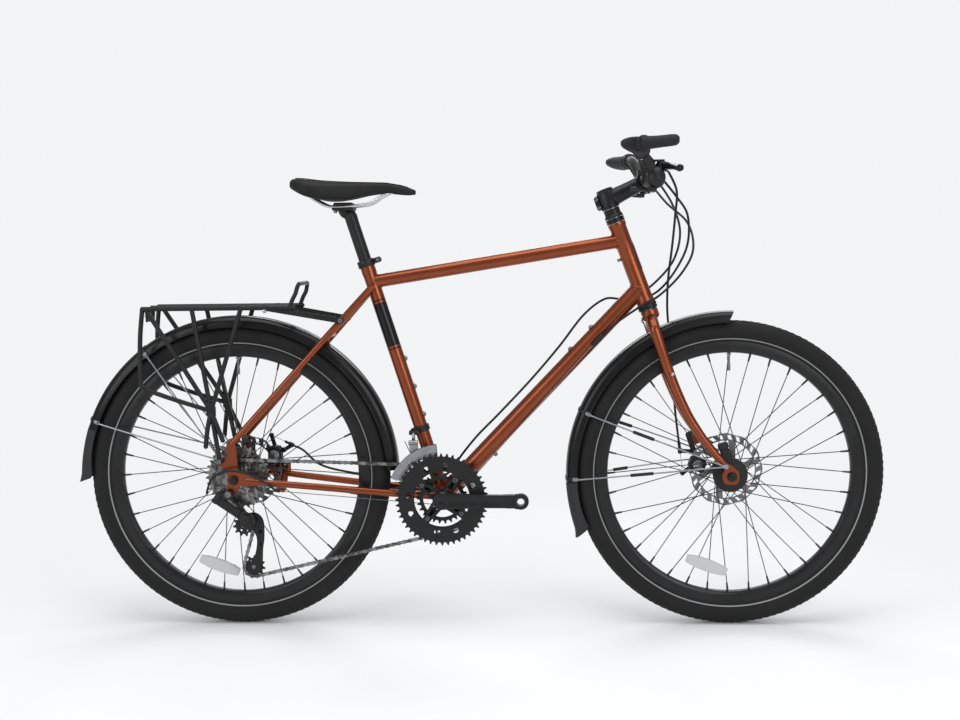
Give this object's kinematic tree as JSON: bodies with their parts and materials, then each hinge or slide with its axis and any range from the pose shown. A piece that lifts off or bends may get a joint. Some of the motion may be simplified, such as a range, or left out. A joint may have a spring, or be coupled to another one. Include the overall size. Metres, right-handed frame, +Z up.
{
  "type": "touring bicycle",
  "caption": "Steel-framed touring bicycle with disc brakes, derailleur gears, full mudguards, a rear luggage rack and grips with bar ends, without pedals.",
  "frame": {"origin": "centre of the footprint, on the ground below the wheels", "axes": "+X forward, +Y to the rider's left, +Z up; the drive side is -Y"},
  "size_m": [1.7652, 0.6168, 1.0347],
  "materials": {
    "copper_paint": "metallic gloss paint",
    "satin_black": "satin black paint",
    "black_alloy": "black anodised",
    "gloss_black": "glossy black with dark matte flaps",
    "grip_rubber": "soft matte rubber",
    "black_plastic": "matte black plastic",
    "saddle_cover": "smooth black synthetic cover",
    "tyre_black": "matte rubber with a reflective stripe",
    "bright_steel": "bright stainless steel",
    "dark_steel": "dark oiled steel",
    "silver_alloy": "satin silver alloy",
    "cable_sheath": "smooth black sheath"
  },
  "bodies": {
    "frame": {"frame": "copper_paint", "headset_upper_cup": "black_alloy", "headset_lower_cup": "black_alloy", "bottom_bracket": "black_alloy", "seat_clamp": "black_alloy", "rear_mudguard": "gloss_black", "rear_mudguard_stays": "bright_steel", "rear_rack": "satin_black", "rear_caliper": "black_alloy", "rear_axle": "dark_steel", "rear_brake_cable": "cable_sheath", "rear_shift_cable": "cable_sheath", "front_shift_cable": "cable_sheath", "chain": "dark_steel", "front_derailleur_bracket": "silver_alloy"},
    "seatpost": {"seatpost": "black_alloy", "saddle_rails": "bright_steel", "saddle": "saddle_cover"},
    "front_derailleur_link": {"front_derailleur_link": "silver_alloy"},
    "front_derailleur_cage": {"front_derailleur_cage": "bright_steel"},
    "rear_derailleur_knuckle": {"rear_derailleur_knuckle": "black_alloy"},
    "rear_derailleur_link": {"rear_derailleur_link": "black_alloy"},
    "rear_derailleur_cage_knuckle": {"rear_derailleur_cage_knuckle": "black_alloy"},
    "rear_derailleur_cage": {"rear_derailleur_cage": "satin_black"},
    "guide_pulley": {"guide_pulley": "black_plastic"},
    "tension_pulley": {"tension_pulley": "black_plastic"},
    "crankset": {"crank_right": "black_alloy", "chainring_outer": "satin_black", "chainring_middle": "dark_steel", "chainring_inner": "dark_steel", "crank_left": "black_alloy"},
    "cassette": {"cassette": "silver_alloy"},
    "rear_wheel": {"rear_tyre": "tyre_black", "rear_rim": "black_alloy", "rear_hub": "silver_alloy", "rear_rotor": "bright_steel"},
    "steering": {"fork": "copper_paint", "headset_top": "black_alloy", "stem": "black_alloy", "stem_faceplate": "black_alloy", "handlebar": "black_alloy", "grip_right": "grip_rubber", "grip_left": "grip_rubber", "control_right": "black_plastic", "control_left": "black_plastic", "front_mudguard": "gloss_black", "front_mudguard_stays": "bright_steel", "front_caliper": "black_alloy", "front_brake_cable": "cable_sheath", "front_axle": "dark_steel"},
    "front_wheel": {"front_tyre": "tyre_black", "front_rim": "black_alloy", "front_hub": "black_alloy", "front_rotor": "bright_steel"},
    "brake_lever_right": {"brake_lever_right": "black_alloy"},
    "brake_lever_left": {"brake_lever_left": "black_alloy"},
    "caliper_arm_front": {"caliper_arm_front": "black_alloy"},
    "caliper_arm_rear": {"caliper_arm_rear": "black_alloy"},
    "shift_lever_right": {"shift_lever_right": "black_plastic"},
    "shift_lever_left": {"shift_lever_left": "black_plastic"}
  },
  "joints": [
    {"name": "steering", "type": "hinge", "parent": "frame", "child": "steering", "pos_m": [0.34559, 0, 0.78595], "axis": [-0.3453, 0, 0.9385], "range_deg": [-60, 60], "deforming": ["rear_brake_cable", "rear_shift_cable", "front_shift_cable"]},
    {"name": "seat_height", "type": "slide", "parent": "frame", "child": "seatpost", "axis": [-0.3007, 0, 0.9537], "range_m": [-0.07, 0.06]},
    {"name": "crankset_spin", "type": "hinge", "parent": "frame", "child": "crankset", "pos_m": [-0.0626, 0, 0.283], "axis": [0, 1, 0], "continuous": true},
    {"name": "cassette_spin", "type": "hinge", "parent": "frame", "child": "cassette", "pos_m": [-0.50762, 0, 0.33], "axis": [0, 1, 0], "continuous": true},
    {"name": "rear_wheel_spin", "type": "hinge", "parent": "frame", "child": "rear_wheel", "pos_m": [-0.50762, 0, 0.33], "axis": [0, 1, 0], "continuous": true},
    {"name": "front_wheel_spin", "type": "hinge", "parent": "steering", "child": "front_wheel", "pos_m": [0.55438, 0, 0.33], "axis": [0, 1, 0], "continuous": true},
    {"name": "front_derailleur_swing", "type": "hinge", "parent": "frame", "child": "front_derailleur_link", "pos_m": [-0.12291, -0.026, 0.42387], "axis": [1, 0, 0], "range_deg": [-10, 15], "stiffness_Nm_per_rad": 3, "deforming": ["chain", "front_shift_cable"]},
    {"name": "front_derailleur_level", "type": "hinge", "parent": "front_derailleur_link", "child": "front_derailleur_cage", "pos_m": [-0.12291, -0.043, 0.40487], "axis": [1, 0, 0], "range_deg": [-15, 10], "deforming": ["chain", "front_shift_cable"]},
    {"name": "rear_derailleur_hang", "type": "hinge", "parent": "frame", "child": "rear_derailleur_knuckle", "pos_m": [-0.51762, 0, 0.301], "axis": [0, 1, 0], "range_deg": [-2, 10], "stiffness_Nm_per_rad": 6, "deforming": ["chain", "rear_shift_cable"]},
    {"name": "rear_derailleur_swing", "type": "hinge", "parent": "rear_derailleur_knuckle", "child": "rear_derailleur_link", "pos_m": [-0.54362, -0.08, 0.291], "axis": [0.6, 0, 0.8], "range_deg": [-12, 12], "stiffness_Nm_per_rad": 4, "deforming": ["chain", "rear_shift_cable"]},
    {"name": "rear_derailleur_level", "type": "hinge", "parent": "rear_derailleur_link", "child": "rear_derailleur_cage_knuckle", "pos_m": [-0.49162, -0.071, 0.252], "axis": [0.6, 0, 0.8], "range_deg": [-12, 12], "deforming": ["chain"]},
    {"name": "chain_tensioner", "type": "hinge", "parent": "rear_derailleur_cage_knuckle", "child": "rear_derailleur_cage", "pos_m": [-0.47962, 0, 0.24], "axis": [0, 1, 0], "range_deg": [-35, 20], "stiffness_Nm_per_rad": 2, "deforming": ["chain"]},
    {"name": "guide_pulley_spin", "type": "hinge", "parent": "rear_derailleur_cage", "child": "guide_pulley", "pos_m": [-0.49362, 0, 0.226], "axis": [0, 1, 0], "continuous": true},
    {"name": "tension_pulley_spin", "type": "hinge", "parent": "rear_derailleur_cage", "child": "tension_pulley", "pos_m": [-0.47362, 0, 0.136], "axis": [0, 1, 0], "continuous": true},
    {"name": "brake_lever_right_pull", "type": "hinge", "parent": "steering", "child": "brake_lever_right", "pos_m": [0.39724, -0.138, 0.98068], "axis": [0, 0, -1], "range_deg": [0, 20], "stiffness_Nm_per_rad": 2, "deforming": ["front_brake_cable"]},
    {"name": "brake_lever_left_pull", "type": "hinge", "parent": "steering", "child": "brake_lever_left", "pos_m": [0.39724, 0.138, 0.98068], "axis": [0, 0, 1], "range_deg": [0, 20], "stiffness_Nm_per_rad": 2, "deforming": ["rear_brake_cable"]},
    {"name": "caliper_arm_front_pull", "type": "hinge", "parent": "steering", "child": "caliper_arm_front", "pos_m": [0.49238, 0.0578, 0.342], "axis": [0, 1, 0], "range_deg": [0, 25], "deforming": ["front_brake_cable"]},
    {"name": "caliper_arm_rear_pull", "type": "hinge", "parent": "frame", "child": "caliper_arm_rear", "pos_m": [-0.44162, 0.0702, 0.366], "axis": [0, 1, 0], "range_deg": [0, 25], "deforming": ["rear_brake_cable"]},
    {"name": "shift_lever_right_push", "type": "hinge", "parent": "steering", "child": "shift_lever_right", "pos_m": [0.37809, -0.148, 0.93028], "axis": [0, 0, -1], "range_deg": [0, 25], "stiffness_Nm_per_rad": 0.8, "deforming": ["rear_shift_cable"]},
    {"name": "shift_lever_left_push", "type": "hinge", "parent": "steering", "child": "shift_lever_left", "pos_m": [0.37809, 0.148, 0.93028], "axis": [0, 0, 1], "range_deg": [0, 25], "stiffness_Nm_per_rad": 0.8, "deforming": ["front_shift_cable"]}
  ],
  "couplings": [
    {"joint": "cassette_spin", "follows": "crankset_spin", "ratio": 1.8},
    {"joint": "guide_pulley_spin", "follows": "crankset_spin", "ratio": -3.2727},
    {"joint": "tension_pulley_spin", "follows": "crankset_spin", "ratio": 3.2727},
    {"joint": "front_derailleur_level", "follows": "front_derailleur_swing", "ratio": -1},
    {"joint": "rear_derailleur_level", "follows": "rear_derailleur_swing", "ratio": -1},
    {"joint": "caliper_arm_front_pull", "follows": "brake_lever_right_pull", "ratio": 1.25},
    {"joint": "caliper_arm_rear_pull", "follows": "brake_lever_left_pull", "ratio": 1.25}
  ]
}
